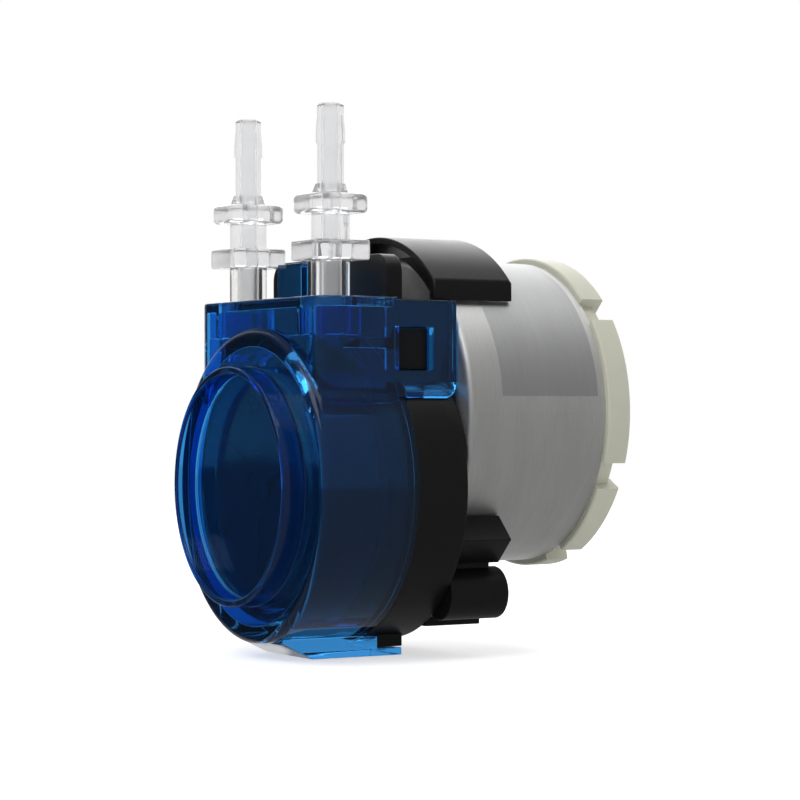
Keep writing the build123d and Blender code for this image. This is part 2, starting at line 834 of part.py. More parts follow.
def bracket_plate():
    body = disc(drum_radius - case_rim_wall - plate_clearance, nest_front, plate_rear)
    side = bracket_side()
    body += side + mirrored(side)
    body += slab(-shelf_half_width, shelf_half_width, case_rear + bracket_lead, bracket_rear,
                 shelf_top - shelf_thickness, shelf_top)
    body -= disc(can_radius + can_fit, plate_rear, screw_boss_rear + past, 0, motor_axis)
    for x in (-1, 1):
        body -= disc(mount_hole, screw_boss_rear - mount_hole_depth, screw_boss_rear + past,
                     x * screw_boss_x, screw_boss_z)
        body -= disc(motor_screw_radius, nest_front - past, plate_rear + past,
                     x * motor_screw_orbit, motor_axis)
    body -= screw_pads(case_screw_radius, nest_front - past, plate_rear + past)
    body -= screw_pads(case_screw_head + head_play, nest_front + case_screw_seat, plate_rear + past)
    body -= disc(shaft_radius + bush_wall, nest_front - past, plate_rear + past)
    return body - disc(gear_module * pinion_teeth / 2 + pinion_play, nest_front - past, plate_rear + past,
                       0, motor_axis)


def case_screws():
    return Compound(children=[screw(case_screw_radius, case_screw_head, plate_rear - head_play,
                                    nest_front + case_screw_seat, case_inside + boss_rear,
                                    *polar(case_screw_orbit, a)) for a in case_screw_angles])


def hood_arch(inset, low):
    half = hood_half_width - inset
    radius = hood_radius - inset
    spring = hood_centre + math.sqrt(radius ** 2 - half ** 2)
    return make_face([Line((-half, low), (-half, spring)),
                      ThreePointArc((-half, spring), (0, hood_centre + radius), (half, spring)),
                      Line((half, spring), (half, low)), Line((half, low), (-half, low))])


def motor_hood():
    rear = hood_front + hood_length
    outer = along_y(hood_arch(0, hood_bottom), hood_front, rear)
    ends = outer.faces().sort_by(Axis.Y)
    rims = [e for face in (ends[0], ends[-1]) for e in face.edges() if e.center().Z > hood_bottom + 0.1]
    return fillet(rims, hood_edge) - along_y(hood_arch(hood_wall, hood_bottom - past), hood_front - past,
                                             rear + past)


# ---------------- motor ----------------

def motor_can():
    z = motor_axis
    cup_end = can_front + motor_bush_length
    body = disc(can_radius, can_front, can_rear, 0, z)
    body = fillet(body.edges().filter_by(GeomType.CIRCLE).sort_by(Axis.Y)[0], can_edge)
    body -= disc(can_radius - can_wall, can_front + can_wall, can_rear + past, 0, z)
    body += disc(motor_bush_outer + bush_cup_wall, can_front + can_wall, cup_end, 0, z)
    body -= disc(motor_bush_outer, can_front + bush_seat, cup_end + past, 0, z)
    body -= disc(motor_shaft_radius + motor_shaft_play, can_front - past, cup_end, 0, z)
    for side in (-1, 1):
        body -= disc(motor_screw_radius, can_front - past, can_front + can_wall + past,
                     side * motor_screw_orbit, z)
    return body


def motor_bush(y0):
    return ring(motor_bush_outer, motor_shaft_radius + running_gap, y0, y0 + motor_bush_length - bush_seat,
                0, motor_axis)


def motor_screws():
    head_front = nest_front - motor_screw_head_height
    return Compound(children=[screw(motor_screw_radius, motor_screw_head, head_front, nest_front,
                                    can_front + can_wall + motor_screw_past, side * motor_screw_orbit,
                                    motor_axis) for side in (-1, 1)])


def magnets():
    y0 = (core_front + core_rear - magnet_length) / 2
    y1 = y0 + magnet_length
    hoop = ring(can_radius - can_wall, magnet_inner, y0, y1, 0, motor_axis)
    for angle in (0, 180):
        hoop -= wedge(can_radius, angle, 180 - magnet_angle, y0 - past, y1 + past, 0, motor_axis)
    return hoop


def pole_angles():
    return [90 + i * 360 / pole_count for i in range(pole_count)]


def around_motor(shape, angle):
    """Turns a shape that points along +X about the motor axis."""
    return Pos(0, 0, motor_axis) * Rot(0, -angle, 0) * shape


def armature_core():
    z = motor_axis
    core = disc(core_hub, core_front, core_rear, 0, z)
    shoes = ring(core_radius, core_radius - shoe_depth, core_front, core_rear, 0, z)
    for angle in pole_angles():
        slot = slab(core_radius / 2, core_radius + past, core_front - past, core_rear + past,
                    -shoe_gap / 2, shoe_gap / 2)
        shoes -= around_motor(slot, angle + 180 / pole_count)
    core += shoes
    for angle in pole_angles():
        core += around_motor(slab(core_hub - past, core_radius - shoe_depth + sunk, core_front, core_rear,
                                  -pole_width / 2, pole_width / 2), angle)
    return core - disc(motor_shaft_radius, core_front - past, core_rear + past, 0, z)


def windings():
    coils = []
    outer = core_radius - shoe_depth
    half = pole_width / 2
    for angle in pole_angles():
        coil = slab(coil_inner, outer, core_front - coil_overhang, core_rear + coil_overhang,
                    -half - coil_build, half + coil_build)
        coil = fillet(coil.edges().filter_by(Axis.X), coil_corner)
        coil -= slab(coil_inner - past, outer + past, core_front, core_rear, -half, half)
        coil &= disc(outer, 0, can_rear)
        coils.append(around_motor(coil, angle))
    return Compound(children=coils)


def commutator():
    rear = commutator_front + commutator_length
    step = commutator_front + commutator_flange
    body = disc(commutator_radius, commutator_front, rear, 0, motor_axis)
    for i in range(pole_count):
        slot = slab(commutator_radius - segment_depth, commutator_radius + past, step, rear + past,
                    -segment_gap / 2, segment_gap / 2)
        body -= around_motor(slot, i * 360 / pole_count)
    body += disc(commutator_radius + commutator_flange, commutator_front, step, 0, motor_axis)
    return body - disc(motor_shaft_radius, commutator_front - past, rear + past, 0, motor_axis)


def brushes():
    brush = slab(commutator_radius + running_gap, commutator_radius + brush_reach,
                 brush_middle - brush_width / 2, brush_middle + brush_width / 2,
                 motor_axis - brush_height / 2, motor_axis + brush_height / 2)
    return Compound(children=[brush, mirrored(brush)])


def brush_springs():
    """Bent leaf springs from the cap floor to the back of each brush."""
    back = commutator_radius + brush_reach
    low, high = motor_axis - spring_half_width, motor_axis + spring_half_width
    leaf = slab(back, back + spring_strip, brush_middle - brush_width / 2, cap_inside, low, high)
    leaf += slab(back, back + spring_foot, cap_inside - spring_strip, cap_inside, low, high)
    return Compound(children=[leaf, mirrored(leaf)])


def brush_guide():
    """The open-ended box on the cap that one brush slides in."""
    z = motor_axis
    near, far = commutator_radius + brush_guide_lead, commutator_radius + brush_reach - brush_guide_short
    half_wide, half_high = brush_width / 2, brush_height / 2
    guide = slab(near, far, brush_middle - half_wide - brush_guide_wall, cap_inside + sunk,
                 z - half_high - brush_guide_wall, z + half_high + brush_guide_wall)
    return guide - slab(near - past, far + past, brush_middle - half_wide, brush_middle + half_wide,
                        z - half_high, z + half_high)


def terminal_slot(side, y0, y1):
    """The upright box that a terminal blade fills, from y0 to y1."""
    x, z = side * terminal_spread / 2, motor_axis - terminal_drop
    return slab(x - terminal_width / 2, x + terminal_width / 2, y0, y1,
                z - terminal_thick / 2, z + terminal_thick / 2)


def end_cap():
    z = motor_axis
    spigot = can_radius - can_wall - cap_spigot_play
    boss_rear_face = can_rear + cap_base + cap_boss_height
    bush_rear = rear_bush_front + motor_bush_length - bush_seat
    body = disc(cap_base_radius, can_rear, can_rear + cap_base, 0, z)
    body = fillet(body.edges().filter_by(GeomType.CIRCLE).sort_by(Axis.Y)[-1], cap_base_edge)
    lugs = ring(cap_lug_radius, cap_base_radius - cap_lug_root, can_rear, can_rear + cap_lug, 0, z)
    lugs = chamfer(lugs.edges().filter_by(GeomType.CIRCLE), cap_lug_edge)
    for angle in notch_angles:
        lugs -= wedge(cap_lug_radius + past, angle, notch_angle,
                      can_rear - past, can_rear + cap_lug + past, 0, z)
    body += lugs
    body += disc(spigot, can_rear - cap_spigot, can_rear + sunk, 0, z)
    body -= disc(spigot - cap_spigot_wall, can_rear - cap_spigot - past, cap_inside, 0, z)
    body += disc(cap_boss_radius, cap_inside - sunk, boss_rear_face, 0, z)
    body += ring(motor_bush_outer + bush_cup_wall, motor_bush_outer, rear_bush_front, cap_inside, 0, z)
    body -= disc(motor_bush_outer, rear_bush_front - past, bush_rear, 0, z)
    guide = brush_guide()
    body += guide + mirrored(guide)
    for side in (-1, 1):
        body -= terminal_slot(side, cap_inside - past, boss_rear_face + past)
    return body


def terminals():
    rear = can_rear + cap_base + terminal_length
    made = []
    for side in (-1, 1):
        blade = terminal_slot(side, cap_inside - terminal_root, rear)
        hole = post(terminal_hole, motor_axis - terminal_drop - past, motor_axis - terminal_drop + past,
                    side * terminal_spread / 2, rear - terminal_width / 2)
        made.append(blade - hole)
    return Compound(children=made)


def motor_shaft():
    rear = rear_bush_front + motor_bush_length - bush_seat - motor_shaft_play
    return disc(motor_shaft_radius, pinion_front, rear, 0, motor_axis)


def thrust_washers():
    front = can_front + motor_bush_length + washer_gap
    rear = rear_bush_front - washer_gap - washer_thickness
    return Compound(children=[ring(motor_bush_outer - washer_inset, motor_shaft_radius + running_gap,
                                   y, y + washer_thickness, 0, motor_axis) for y in (front, rear)])


def label():
    """The bare foil strip bonded round the upper right of the can."""
    y0 = can_front + label_front
    band = ring(can_radius + label_film, can_radius, y0, y0 + label_width, 0, motor_axis)
    return band & wedge(can_radius + past, label_angle, label_span_angle, y0 - past, y0 + label_width + past,
                        0, motor_axis)


nodes = {
    "head_cover": head_cover,
    "pump_tube": pump_tube,
    "inlet_connector": lambda: connector(-tube_spacing / 2),
    "outlet_connector": lambda: connector(tube_spacing / 2),
    "gear_case": gear_case,
    "bracket_plate": bracket_plate,
    "motor_hood": motor_hood,
    "case_screws": case_screws,
    "bearing_outer_ring": lambda: bearing_race(bearing_outer - bearing_ring),
    "bearing_inner_ring": lambda: bearing_race(shaft_radius),
    "bearing_balls": bearing_balls,
    "rear_bush": lambda: ring(shaft_radius + bush_wall, shaft_radius + running_gap, nest_front, plate_rear),
    "output_shaft": output_shaft,
    "retaining_ring": retaining_ring,
    "output_gear": output_gear,
    "rotor_hub": rotor_hub,
    "rotor_front_plate": rotor_front,
    "roller_pins": roller_pins,
    "rotor_screws": rotor_screws,
    "motor_can": motor_can,
    "motor_label": label,
    "motor_screws": motor_screws,
    "motor_front_bush": lambda: motor_bush(can_front + bush_seat),
    "motor_rear_bush": lambda: motor_bush(rear_bush_front),
    "thrust_washers": thrust_washers,
    "stator_magnets": magnets,
    "armature_core": armature_core,
    "armature_windings": windings,
    "commutator": commutator,
    "carbon_brushes": brushes,
    "brush_springs": brush_springs,
    "motor_end_cap": end_cap,
    "motor_terminals": terminals,
    "motor_shaft": motor_shaft,
    "motor_pinion": pinion,
}
for number, angle in enumerate(roller_angles, 1):
    nodes[f"roller_{number}"] = lambda angle=angle: roller(angle)

os.makedirs("parts", exist_ok=True)
for name, make in nodes.items():
    export_step(make(), f"parts/{name}.step")
    print("wrote", name)
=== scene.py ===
import bpy, math
from mathutils import Matrix, Vector


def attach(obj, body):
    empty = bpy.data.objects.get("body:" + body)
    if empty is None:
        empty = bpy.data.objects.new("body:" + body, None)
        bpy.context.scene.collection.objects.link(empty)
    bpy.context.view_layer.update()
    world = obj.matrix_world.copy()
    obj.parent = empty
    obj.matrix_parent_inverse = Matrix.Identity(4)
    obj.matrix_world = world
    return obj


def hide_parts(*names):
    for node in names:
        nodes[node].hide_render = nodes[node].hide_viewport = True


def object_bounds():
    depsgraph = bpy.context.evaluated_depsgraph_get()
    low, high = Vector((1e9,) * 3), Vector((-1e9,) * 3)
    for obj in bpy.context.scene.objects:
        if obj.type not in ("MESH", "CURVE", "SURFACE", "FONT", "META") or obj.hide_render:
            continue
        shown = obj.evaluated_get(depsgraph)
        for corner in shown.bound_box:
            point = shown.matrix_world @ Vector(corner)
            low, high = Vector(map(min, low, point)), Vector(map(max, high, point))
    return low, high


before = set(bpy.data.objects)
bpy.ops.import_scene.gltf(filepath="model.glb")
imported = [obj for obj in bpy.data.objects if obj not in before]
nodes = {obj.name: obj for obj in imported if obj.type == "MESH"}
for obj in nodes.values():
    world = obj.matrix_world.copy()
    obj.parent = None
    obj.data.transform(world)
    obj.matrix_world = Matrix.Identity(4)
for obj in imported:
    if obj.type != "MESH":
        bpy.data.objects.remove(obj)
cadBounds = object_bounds()
mm = 0.001
print("frame loaded,", len(nodes), "nodes")


def startGroup(name, inputs, outputs):
    group = bpy.data.node_groups.new(name, "ShaderNodeTree")
    for socketName, value in inputs.items():
        socket = group.interface.new_socket(
            socketName, in_out="INPUT", socket_type="NodeSocketFloat")
        socket.default_value = value
    for socketName in outputs:
        group.interface.new_socket(socketName, in_out="OUTPUT", socket_type="NodeSocketFloat")
    return group, group.nodes.new("NodeGroupInput"), group.nodes.new("NodeGroupOutput")


def math2(tree, operation, a, b, clamp=False):
    node = tree.nodes.new("ShaderNodeMath")
    node.operation = operation
    node.use_clamp = clamp
    for socket, value in zip(node.inputs, (a, b)):
        if isinstance(value, (int, float)):
            socket.default_value = value
        else:
            tree.links.new(value, socket)
    return node.outputs[0]


def objectPlace(tree, scale=(1, 1, 1)):
    place = tree.nodes.new("ShaderNodeTexCoord")
    mapping = tree.nodes.new("ShaderNodeMapping")
    mapping.inputs["Scale"].default_value = scale
    tree.links.new(place.outputs["Object"], mapping.inputs["Vector"])
    return mapping.outputs["Vector"]


def noise(tree, vector, scale, detail=3.0, rough=0.5):
    node = tree.nodes.new("ShaderNodeTexNoise")
    node.inputs["Detail"].default_value = detail
    node.inputs["Roughness"].default_value = rough
    tree.links.new(vector, node.inputs["Vector"])
    if isinstance(scale, (int, float)):
        node.inputs["Scale"].default_value = scale
    else:
        tree.links.new(scale, node.inputs["Scale"])
    return node.outputs["Fac"]


def ramp(tree, value, stops):  # two stops
    node = tree.nodes.new("ShaderNodeValToRGB")
    for element, (at, colour) in zip(node.color_ramp.elements, stops):
        element.position = at
        element.color = (*colour, 1)
    tree.links.new(value, node.inputs["Fac"])
    return node.outputs["Color"]


grainLook = dict(detail=2.0, toneScale=90.0, toneDetail=4.0, toneRough=0.6)


def makeMouldGrain():  # fine pebble of a moulded surface, with slow tone changes
    group, start, end = startGroup("mouldGrain", {"Scale": 2500.0}, ("Height", "Tone"))
    place = objectPlace(group)
    height = noise(group, place, start.outputs["Scale"], grainLook["detail"])
    tone = noise(group, place, grainLook["toneScale"], grainLook["toneDetail"],
                 grainLook["toneRough"])
    group.links.new(height, end.inputs["Height"])
    group.links.new(tone, end.inputs["Tone"])
    return group


wearLook = dict(radius=0.0004, samples=4, bendGain=9.0, patchScale=700.0, patchDetail=3.0,
                patchFrom=0.25, patchGain=2.0)


def makeEdgeWear():  # one along worn outer edges, zero on flat faces
    group, start, end = startGroup(
        "edgeWear", {"Radius": wearLook["radius"], "Amount": 1.0}, ("Mask",))
    soft = group.nodes.new("ShaderNodeBevel")
    soft.samples = wearLook["samples"]
    group.links.new(start.outputs["Radius"], soft.inputs["Radius"])
    plain = group.nodes.new("ShaderNodeNewGeometry")
    dot = group.nodes.new("ShaderNodeVectorMath")
    dot.operation = "DOT_PRODUCT"
    group.links.new(soft.outputs["Normal"], dot.inputs[0])
    group.links.new(plain.outputs["Normal"], dot.inputs[1])
    bend = math2(group, "SUBTRACT", 1.0, dot.outputs["Value"])
    bend = math2(group, "MULTIPLY", bend, wearLook["bendGain"], clamp=True)
    patch = noise(group, objectPlace(group), wearLook["patchScale"], wearLook["patchDetail"])
    patch = math2(group, "SUBTRACT", patch, wearLook["patchFrom"])
    patch = math2(group, "MULTIPLY", patch, wearLook["patchGain"], clamp=True)
    worn = math2(group, "MULTIPLY", bend, patch)
    worn = math2(group, "MULTIPLY", worn, start.outputs["Amount"], clamp=True)
    group.links.new(worn, end.inputs["Mask"])
    return group


brushLook = dict(streakStretch=(0.02, 1.0, 0.02), streakDetail=3.0, streakRough=0.7,
                 patchStretch=(0.25, 1.0, 0.25), patchScale=160.0, patchDetail=3.0)


def makeBrushing():  # fine streaks that run round the motor axis
    group, start, end = startGroup("brushing", {"Fineness": 9000.0}, ("Streak", "Patch"))
    streak = noise(group, objectPlace(group, brushLook["streakStretch"]),
                   start.outputs["Fineness"], brushLook["streakDetail"], brushLook["streakRough"])
    patch = noise(group, objectPlace(group, brushLook["patchStretch"]),
                  brushLook["patchScale"], brushLook["patchDetail"])
    group.links.new(streak, end.inputs["Streak"])
    group.links.new(patch, end.inputs["Patch"])
    return group


dustLook = dict(upFrom=0.45, upGain=2.0, fleckScale=1300.0, fleckDetail=5.0, fleckRough=0.75,
                fleckFrom=0.42, fleckGain=3.0)


def makeDust():  # settles on faces that look up
    group, start, end = startGroup("dust", {"Amount": 0.3}, ("Mask",))
    plain = group.nodes.new("ShaderNodeNewGeometry")
    split = group.nodes.new("ShaderNodeSeparateXYZ")
    group.links.new(plain.outputs["Normal"], split.inputs[0])
    up = math2(group, "SUBTRACT", split.outputs["Z"], dustLook["upFrom"])
    up = math2(group, "MULTIPLY", up, dustLook["upGain"], clamp=True)
    fleck = noise(group, objectPlace(group), dustLook["fleckScale"], dustLook["fleckDetail"],
                  dustLook["fleckRough"])
    fleck = math2(group, "SUBTRACT", fleck, dustLook["fleckFrom"])
    fleck = math2(group, "MULTIPLY", fleck, dustLook["fleckGain"], clamp=True)
    mask = math2(group, "MULTIPLY", up, fleck)
    mask = math2(group, "MULTIPLY", mask, start.outputs["Amount"], clamp=True)
    group.links.new(mask, end.inputs["Mask"])
    return group


groups = {
    "mouldGrain": makeMouldGrain(),
    "edgeWear": makeEdgeWear(),
    "brushing": makeBrushing(),
    "dust": makeDust(),
}


def useGroup(tree, name, **values):
    node = tree.nodes.new("ShaderNodeGroup")
    node.node_tree = groups[name]
    for socketName, value in values.items():
        node.inputs[socketName].default_value = value
    return node.outputs


def startMaterial(name):
    material = bpy.data.materials.new(name)
    material.use_nodes = True
    tree = material.node_tree
    return material, tree, tree.nodes["Principled BSDF"]


def blendColour(tree, factor, a, b):
    node = tree.nodes.new("ShaderNodeMix")
    node.data_type = "RGBA"
    tree.links.new(factor, node.inputs[0])
    for socket, value in ((node.inputs[6], a), (node.inputs[7], b)):
        if isinstance(value, tuple):
            socket.default_value = (*value, 1)
        else:
            tree.links.new(value, socket)
    return node.outputs[2]


def blendValue(tree, factor, a, b):
    return math2(tree, "ADD", math2(tree, "MULTIPLY", factor, b - a), a)


def blendLinked(tree, factor, a, b):
    node = tree.nodes.new("ShaderNodeMix")
    tree.links.new(factor, node.inputs[0])
    for socket, value in ((node.inputs[2], a), (node.inputs[3], b)):
        if isinstance(value, (int, float)):
            socket.default_value = value
        else:
            tree.links.new(value, socket)
    return node.outputs[0]


def bump(tree, shader, height, strength, distance):
    node = tree.nodes.new("ShaderNodeBump")
    node.inputs["Strength"].default_value = strength
    node.inputs["Distance"].default_value = distance
    tree.links.new(height, node.inputs["Height"])
    tree.links.new(node.outputs["Normal"], shader.inputs["Normal"])


bumpDistance = dict(solid=0.0001, clear=0.0005)

mouldedLooks = {
    "blackPlastic": dict(colour=(0.0055, 0.0055, 0.006), tone=(0.0085, 0.0085, 0.009),
                         edge=(0.035, 0.035, 0.037),
                         rough=(0.3, 0.4), specular=0.2, grain=2600.0, depth=0.04, wear=0.5,
                         dust=0.06, dustColour=(0.16, 0.16, 0.155)),
    "ivoryPlastic": dict(colour=(0.56, 0.565, 0.46), tone=(0.64, 0.645, 0.535),
                         edge=(0.74, 0.74, 0.66),
                         rough=(0.42, 0.52), specular=0.3, grain=1800.0, depth=0.06, wear=0.5,
                         dust=0.2, dustColour=(0.6, 0.59, 0.52)),
    "rotorPlastic": dict(colour=(0.006, 0.008, 0.012), tone=(0.01, 0.013, 0.02),
                         edge=(0.09, 0.11, 0.15),
                         rough=(0.35, 0.5), specular=0.15, grain=2400.0, depth=0.05, wear=0.8),
    "rollerPlastic": dict(colour=(0.5, 0.51, 0.5), tone=(0.6, 0.61, 0.6), edge=(0.7, 0.7, 0.7),
                          rough=(0.25, 0.4), specular=0.4, grain=2400.0, depth=0.03, wear=0.4),
    "acetalGear": dict(colour=(0.6, 0.57, 0.47), tone=(0.68, 0.65, 0.56), edge=(0.75, 0.72, 0.64),
                       rough=(0.3, 0.45), specular=0.4, grain=2200.0, depth=0.04, wear=0.4),
    "ferrite": dict(colour=(0.04, 0.04, 0.043), tone=(0.06, 0.06, 0.063), edge=(0.12, 0.12, 0.12),
                    rough=(0.6, 0.75), specular=0.3, grain=3000.0, depth=0.12, wear=0.4),
    "carbon": dict(colour=(0.02, 0.02, 0.02), tone=(0.035, 0.035, 0.035), edge=(0.1, 0.1, 0.1),
                   rough=(0.6, 0.75), specular=0.25, grain=3500.0, depth=0.12, wear=0.5),
    "nylon": dict(colour=(0.55, 0.54, 0.48), tone=(0.62, 0.61, 0.55), edge=(0.7, 0.7, 0.65),
                  rough=(0.4, 0.5), specular=0.4, grain=2200.0, depth=0.04, wear=0.3),
}


def makeMoulded(name):
    look = mouldedLooks[name]
    material, tree, shader = startMaterial(name)
    grain = useGroup(tree, "mouldGrain", Scale=look["grain"])
    wear = useGroup(tree, "edgeWear", Amount=look["wear"])
    colour = blendColour(tree, grain["Tone"], look["colour"], look["tone"])
    colour = blendColour(tree, wear["Mask"], colour, look["edge"])
    if "dust" in look:
        dust = useGroup(tree, "dust", Amount=look["dust"])
        colour = blendColour(tree, dust["Mask"], colour, look["dustColour"])
    tree.links.new(colour, shader.inputs["Base Color"])
    tree.links.new(blendValue(tree, grain["Tone"], *look["rough"]), shader.inputs["Roughness"])
    shader.inputs["Specular IOR Level"].default_value = look["specular"]
    bump(tree, shader, grain["Height"], look["depth"], bumpDistance["solid"])
    return material


metalLooks = {
    "canSteel": dict(dark=(0.64, 0.64, 0.634), pale=(0.8, 0.8, 0.792),
                     rough=(0.46, 0.58), streaks=9000.0,
                     depth=0.05),
    "labelFoil": dict(dark=(0.5, 0.503, 0.506), pale=(0.56, 0.563, 0.567),
                      rough=(0.5, 0.6), streaks=3000.0,
                      depth=0.02),
    "darkSteel": dict(dark=(0.02, 0.022, 0.025), pale=(0.035, 0.037, 0.04),
                      rough=(0.4, 0.5), streaks=9000.0,
                      depth=0.05),
    "groundSteel": dict(dark=(0.42, 0.42, 0.43), pale=(0.6, 0.6, 0.61),
                        rough=(0.16, 0.28), streaks=9000.0,
                        depth=0.05),
    "zincScrew": dict(dark=(0.36, 0.37, 0.39), pale=(0.52, 0.53, 0.55),
                      rough=(0.28, 0.4), streaks=4000.0,
                      depth=0.05),
    "bronze": dict(dark=(0.36, 0.22, 0.1), pale=(0.5, 0.33, 0.17),
                   rough=(0.45, 0.6), streaks=2500.0, depth=0.08),
    "lamination": dict(dark=(0.12, 0.12, 0.13), pale=(0.34, 0.34, 0.35),
                       rough=(0.35, 0.5), streaks=2600.0,
                       depth=0.3),
    "copperWire": dict(dark=(0.36, 0.13, 0.05), pale=(0.62, 0.28, 0.13),
                       rough=(0.25, 0.38), streaks=3800.0,
                       depth=0.4),
    "springBrass": dict(dark=(0.45, 0.32, 0.12), pale=(0.62, 0.47, 0.22),
                        rough=(0.25, 0.35), streaks=3000.0,
                        depth=0.04),
    "tinned": dict(dark=(0.45, 0.45, 0.43), pale=(0.6, 0.6, 0.58),
                   rough=(0.25, 0.38), streaks=2500.0,
                   depth=0.05),
}


brushedTone = dict(streakShare=0.65, patchShare=0.35, darkAt=0.34, paleAt=0.66, wear=0.5,
                   wornGain=1.35)


def makeMetal(name):
    look = metalLooks[name]
    material, tree, shader = startMaterial(name)
    brushed = useGroup(tree, "brushing", Fineness=look["streaks"])
    wear = useGroup(tree, "edgeWear", Amount=brushedTone["wear"])
    streak = math2(tree, "MULTIPLY", brushed["Streak"], brushedTone["streakShare"])
    patch = math2(tree, "MULTIPLY", brushed["Patch"], brushedTone["patchShare"])
    tone = ramp(tree, math2(tree, "ADD", streak, patch),
                [(brushedTone["darkAt"], look["dark"]), (brushedTone["paleAt"], look["pale"])])
    bright = tuple(min(1, c * brushedTone["wornGain"]) for c in look["pale"])
    tree.links.new(blendColour(tree, wear["Mask"], tone, bright), shader.inputs["Base Color"])
    tree.links.new(blendValue(tree, brushed["Streak"], *look["rough"]), shader.inputs["Roughness"])
    shader.inputs["Metallic"].default_value = 1.0
    bump(tree, shader, brushed["Streak"], look["depth"], bumpDistance["solid"])
    return material


clearLooks = {  # painted shade: low inside the drum the tube is painted darker, standing in for the shade of the blue wall
    "clearBlue": dict(colour=(0.028, 0.3, 0.66), streak=(0.045, 0.26, 0.72),
                      rough=(0.02, 0.05), ior=1.38,
                      transmission=0.972, flow=60.0, relief=0.02,
                      shade=(0.12, 0.45, 0.75), specular=0.5),
    "naturalPlastic": dict(colour=(0.93, 0.93, 0.935), streak=(0.88, 0.88, 0.885),
                           rough=(0.05, 0.1), ior=1.33,
                           transmission=0.82, flow=120.0, shade=(0.8, 0.81, 0.82), specular=0.5),
    "siliconeTube": dict(colour=(0.9, 0.9, 0.89), streak=(0.94, 0.94, 0.93),
                         rough=(0.08, 0.14), ior=1.36,
                         transmission=0.97, flow=150.0, shade=(0.8, 0.8, 0.8), specular=0.5,
                         # painted shade: the darker tube colour and the heights it blends between
                         paintedShadeTop=0.036, paintedShadeFoot=0.02, paintedShadeColour=(0.012, 0.02, 0.035)),
}


flowDetail = 3.0


def makeClear(name):
    look = clearLooks[name]
    material, tree, shader = startMaterial(name)
    flow = noise(tree, objectPlace(tree), look["flow"], flowDetail)
    colour = blendColour(tree, flow, look["colour"], look["streak"])
    # painted shade: a darker colour blended in by height, standing in for the blue wall's shade,
    # not the tube's own colour
    if "paintedShadeColour" in look:
        split = tree.nodes.new("ShaderNodeSeparateXYZ")
        tree.links.new(objectPlace(tree), split.inputs[0])
        depth = tree.nodes.new("ShaderNodeMapRange")
        depth.inputs["From Min"].default_value = look["paintedShadeTop"]
        depth.inputs["From Max"].default_value = look["paintedShadeFoot"]
        tree.links.new(split.outputs["Z"], depth.inputs["Value"])
        colour = blendColour(tree, depth.outputs["Result"], colour, look["paintedShadeColour"])
    tree.links.new(colour, shader.inputs["Base Color"])
    tree.links.new(blendValue(tree, flow, *look["rough"]), shader.inputs["Roughness"])
    shader.inputs["Transmission Weight"].default_value = look["transmission"]
    shader.inputs["IOR"].default_value = look["ior"]
    shader.inputs["Specular IOR Level"].default_value = look["specular"]
    if "relief" in look:
        bump(tree, shader, flow, look["relief"], bumpDistance["clear"])
    path = tree.nodes.new("ShaderNodeLightPath")
    through = tree.nodes.new("ShaderNodeBsdfTransparent")
    through.inputs["Color"].default_value = (*look["shade"], 1)
    choose = tree.nodes.new("ShaderNodeMixShader")
    tree.links.new(path.outputs["Is Shadow Ray"], choose.inputs["Fac"])
    tree.links.new(shader.outputs["BSDF"], choose.inputs[1])
    tree.links.new(through.outputs["BSDF"], choose.inputs[2])
    tree.links.new(choose.outputs["Shader"], tree.nodes["Material Output"].inputs["Surface"])
    return material


finishes = {name: makeMoulded(name) for name in mouldedLooks}
finishes.update({name: makeMetal(name) for name in metalLooks})
finishes.update({name: makeClear(name) for name in clearLooks})
print("finishes made,", len(finishes))

nodeFinishes = {
    "clearBlue": ["head_cover"],
    "naturalPlastic": ["inlet_connector", "outlet_connector"],
    "siliconeTube": ["pump_tube"],
    "blackPlastic": ["gear_case", "bracket_plate", "motor_hood"],
    "ivoryPlastic": ["motor_end_cap"],
    "canSteel": ["motor_can"],
    "labelFoil": ["motor_label"],
    "rotorPlastic": ["rotor_hub", "rotor_front_plate"],
    "rollerPlastic": ["roller_1", "roller_2", "roller_3"],
    "acetalGear": ["output_gear"],
    "groundSteel": ["bearing_outer_ring", "bearing_inner_ring", "bearing_balls",
                    "retaining_ring", "motor_shaft"],
    "darkSteel": ["output_shaft", "roller_pins", "rotor_screws"],
    "zincScrew": ["case_screws", "motor_screws"],
    "bronze": ["rear_bush", "motor_front_bush", "motor_rear_bush", "motor_pinion", "commutator"],
    "ferrite": ["stator_magnets"],
    "lamination": ["armature_core"],
    "copperWire": ["armature_windings"],
    "carbon": ["carbon_brushes"],
    "springBrass": ["brush_springs"],
    "tinned": ["motor_terminals"],
    "nylon": ["thrust_washers"],
}


def dressNodes():
    for finish, members in nodeFinishes.items():
        for member in members:
            slots = nodes[member].data.materials
            slots.clear()
            slots.append(finishes[finish])


dressNodes()
print("CAD nodes dressed")

softPieces = {  # bevelled copies, widths in millimetres, that stand for these nodes
    "hoodShell": dict(node="motor_hood", slot="black_plastic", finish="blackPlastic",
                      width=0.3, segments=3),
    "caseShell": dict(node="gear_case", slot="black_plastic", finish="blackPlastic",
                      width=0.2, segments=2),
    "bracketBody": dict(node="bracket_plate", slot="black_plastic", finish="blackPlastic",
                        width=0.25, segments=2),
    "clearShell": dict(node="head_cover", slot="clear_blue", finish="clearBlue",
                       width=0.22, segments=3),
}
softEdges = dict(weld=0.002, flat=0.3, bevelled=62.0, smoothed=38.0)  # mm, then degrees


